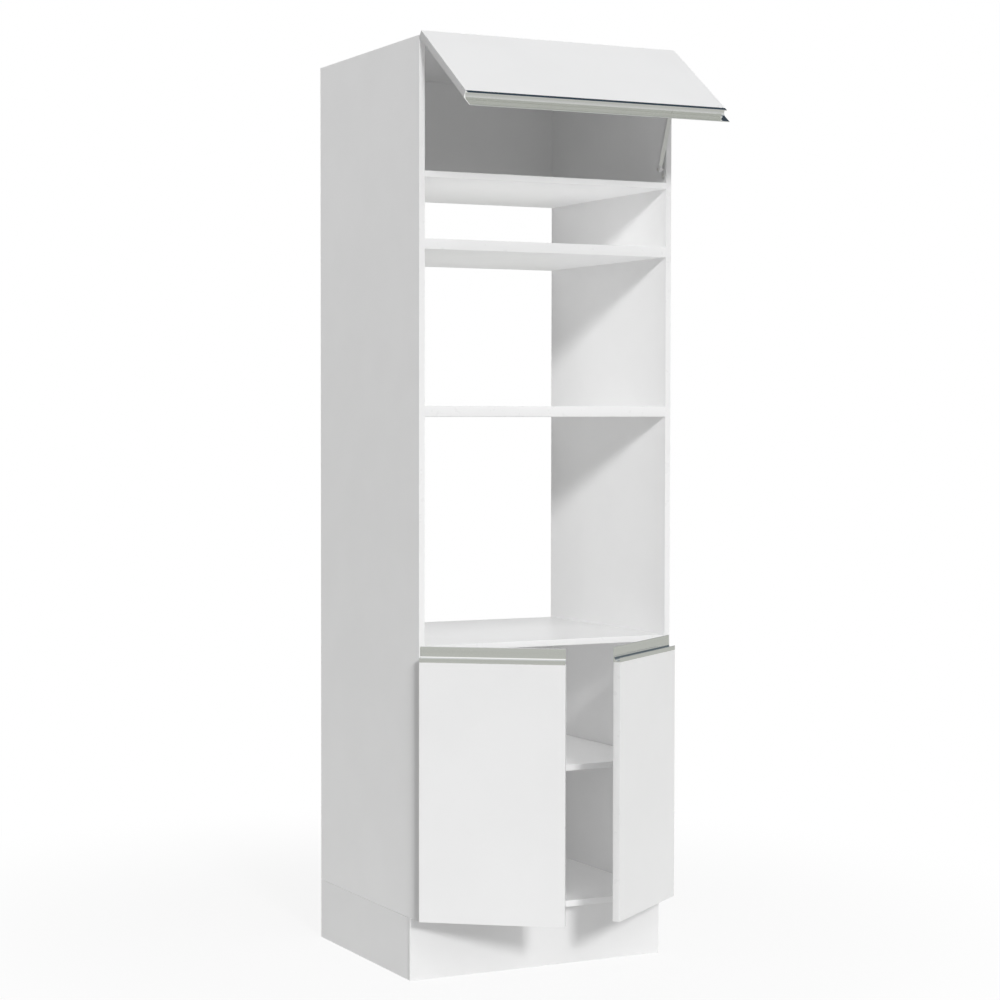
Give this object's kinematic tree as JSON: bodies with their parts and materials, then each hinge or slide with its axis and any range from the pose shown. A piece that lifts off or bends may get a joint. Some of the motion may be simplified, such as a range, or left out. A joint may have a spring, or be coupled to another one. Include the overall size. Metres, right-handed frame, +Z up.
{
  "type": "oven housing cabinet",
  "caption": "Tall white oven housing cabinet with open appliance niches, a lift-up flap on a gas stay, a two-door cupboard, extruded aluminium handle rails and a plinth.",
  "frame": {"origin": "on the floor, on the wall line behind the cabinet, in the middle of its width", "axes": "+Z up, +Y towards the wall, +X to the right as one faces the front"},
  "size_m": [0.7136, 0.8396, 2.286],
  "materials": {
    "carcass_board": "white melamine on chipboard, satin",
    "front_board": "white melamine on chipboard, satin",
    "back_sheet": "white hardboard",
    "plinth": "white melamine on chipboard, satin",
    "raw_wood": "planed softwood",
    "handle": "clear anodised, satin",
    "hinge_metal": "nickel plated",
    "polished_steel": "ground rod",
    "stay_tube": "light grey paint",
    "stay_plastic": "moulded",
    "zinc": "zinc plated",
    "bumper": "clear soft pad"
  },
  "bodies": {
    "carcass": {"left_side_panel": "carcass_board", "right_side_panel": "carcass_board", "top_panel": "carcass_board", "top_compartment_shelf": "carcass_board", "tray_shelf": "carcass_board", "microwave_shelf": "carcass_board", "oven_floor": "carcass_board", "cupboard_shelf": "carcass_board", "cupboard_bottom": "carcass_board", "top_back_sheet": "back_sheet", "cupboard_back_sheet": "back_sheet", "plinth_front_board": "plinth", "plinth_rear_board": "plinth", "plinth_left_board": "plinth", "plinth_right_board": "plinth", "plinth_corner_blocks": "raw_wood", "wall_angles": "zinc", "cam_locks": "zinc", "cam_bolts": "zinc", "shelf_pins": "hinge_metal", "left_hinge_arms": "hinge_metal", "left_hinge_plates": "hinge_metal", "right_hinge_arms": "hinge_metal", "right_hinge_plates": "hinge_metal", "flap_hinge_arms": "hinge_metal", "flap_hinge_plates": "hinge_metal", "stay_foot_bracket": "hinge_metal"},
    "left_door": {"left_door_board": "front_board", "left_handle_rail": "handle", "left_hinge_cups": "hinge_metal", "left_hinge_pins": "hinge_metal", "left_bumpers": "bumper"},
    "right_door": {"right_door_board": "front_board", "right_handle_rail": "handle", "right_hinge_cups": "hinge_metal", "right_hinge_pins": "hinge_metal", "right_bumpers": "bumper"},
    "flap": {"flap_board": "front_board", "flap_handle_rail": "handle", "flap_hinge_cups": "hinge_metal", "flap_hinge_pins": "hinge_metal", "flap_bumpers": "bumper", "stay_head_bracket": "hinge_metal"},
    "stay_cylinder": {"stay_tube": "stay_tube", "stay_foot_socket": "stay_plastic"},
    "stay_plunger": {"stay_rod": "polished_steel", "stay_head_socket": "stay_plastic"}
  },
  "joints": [
    {"name": "left_door_hinge", "type": "hinge", "parent": "carcass", "child": "left_door", "pos_m": [-0.3455, -0.5862, 0.46575], "axis": [0, 0, -1], "range_deg": [-36, 64]},
    {"name": "right_door_hinge", "type": "hinge", "parent": "carcass", "child": "right_door", "pos_m": [0.3455, -0.5862, 0.46575], "axis": [0, 0, 1], "range_deg": [-36, 64]},
    {"name": "flap_hinge", "type": "hinge", "parent": "carcass", "child": "flap", "pos_m": [0, -0.5862, 2.2555], "axis": [-1, 0, 0], "range_deg": [-53.5, 0]},
    {"name": "stay_pivot", "type": "hinge", "parent": "carcass", "child": "stay_cylinder", "pos_m": [0.324, -0.567, 1.976], "axis": [1, 0, 0], "range_deg": [-19, 0]},
    {"name": "stay_slide", "type": "slide", "parent": "stay_cylinder", "child": "stay_plunger", "axis": [0, -0.3354, 0.9421], "range_m": [-0.0346, 0]}
  ],
  "couplings": [
    {"joint": "stay_pivot", "follows": "flap_hinge", "ratio": 0.34988},
    {"joint": "stay_slide", "follows": "flap_hinge", "m_per_rad": 0.036737}
  ]
}
